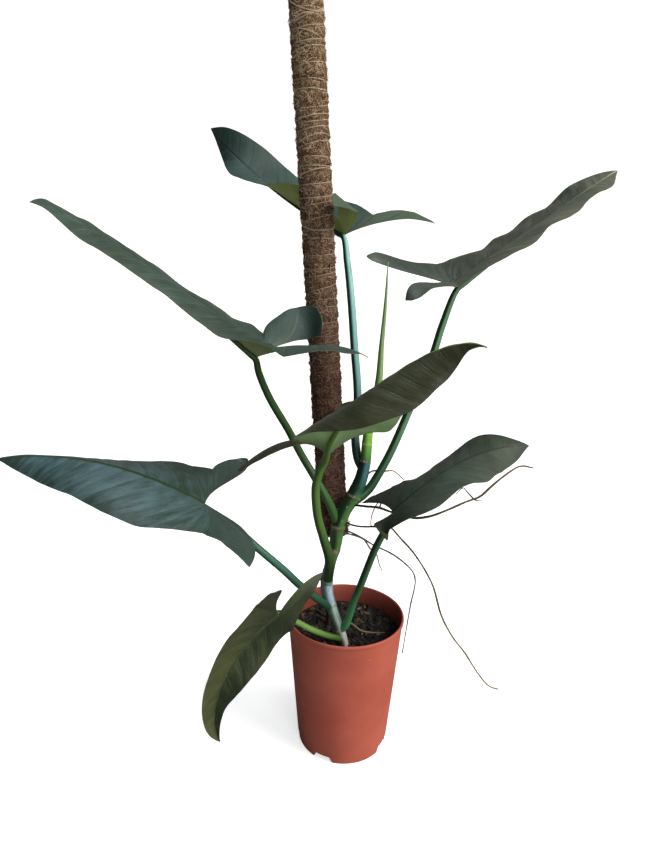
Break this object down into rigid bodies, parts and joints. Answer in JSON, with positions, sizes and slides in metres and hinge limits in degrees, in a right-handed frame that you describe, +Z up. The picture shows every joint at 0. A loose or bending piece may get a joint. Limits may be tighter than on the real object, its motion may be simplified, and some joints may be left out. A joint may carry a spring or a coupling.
{
  "type": "potted climbing philodendron",
  "caption": "Silver leaf philodendron with arrow-shaped blue-green leaves and aerial roots, climbing a coir-wrapped pole in a tapered terracotta-coloured nursery pot.",
  "frame": {"origin": "centre of the pot's foot, on the surface the pot stands on", "axes": "+Z up, +X to the right and +Y away from a viewer who faces the front of the pot, where the stem stands between the viewer and the pole"},
  "size_m": [0.803, 0.4355, 1.0215],
  "materials": {
    "pot_plastic": "moulded polypropylene, satin, terracotta colour",
    "potting_mix": "damp bark and peat",
    "stake_wood": "bare softwood",
    "coir": "matted coconut fibre bound with twine",
    "stem": "waxy, jointed, silvery grey-green",
    "stalk": "waxy dark green",
    "leaf": "silver-sheened blue-green above, olive below",
    "young_green": "smooth bright green",
    "aerial_root": "dry, olive-brown"
  },
  "bodies": {
    "root": {"pot": "pot_plastic", "soil": "potting_mix", "pole_stake": "stake_wood", "coir_pole": "coir", "main_stem": "stem", "stalk_a": "stalk", "blade_a": "leaf", "stalk_b": "stalk", "blade_b": "leaf", "stalk_c": "stalk", "blade_c": "leaf", "stalk_d": "stalk", "blade_d": "leaf", "stalk_e": "stalk", "blade_e": "leaf", "stalk_f": "stalk", "blade_f": "leaf", "stalk_g": "stalk", "blade_g": "leaf", "new_leaf_sheath": "young_green", "rolled_new_leaf": "young_green", "aerial_root_1": "aerial_root", "aerial_root_2": "aerial_root", "aerial_root_3": "aerial_root", "aerial_root_4": "aerial_root", "aerial_root_5": "aerial_root", "aerial_root_6": "aerial_root"}
  },
  "joints": []
}
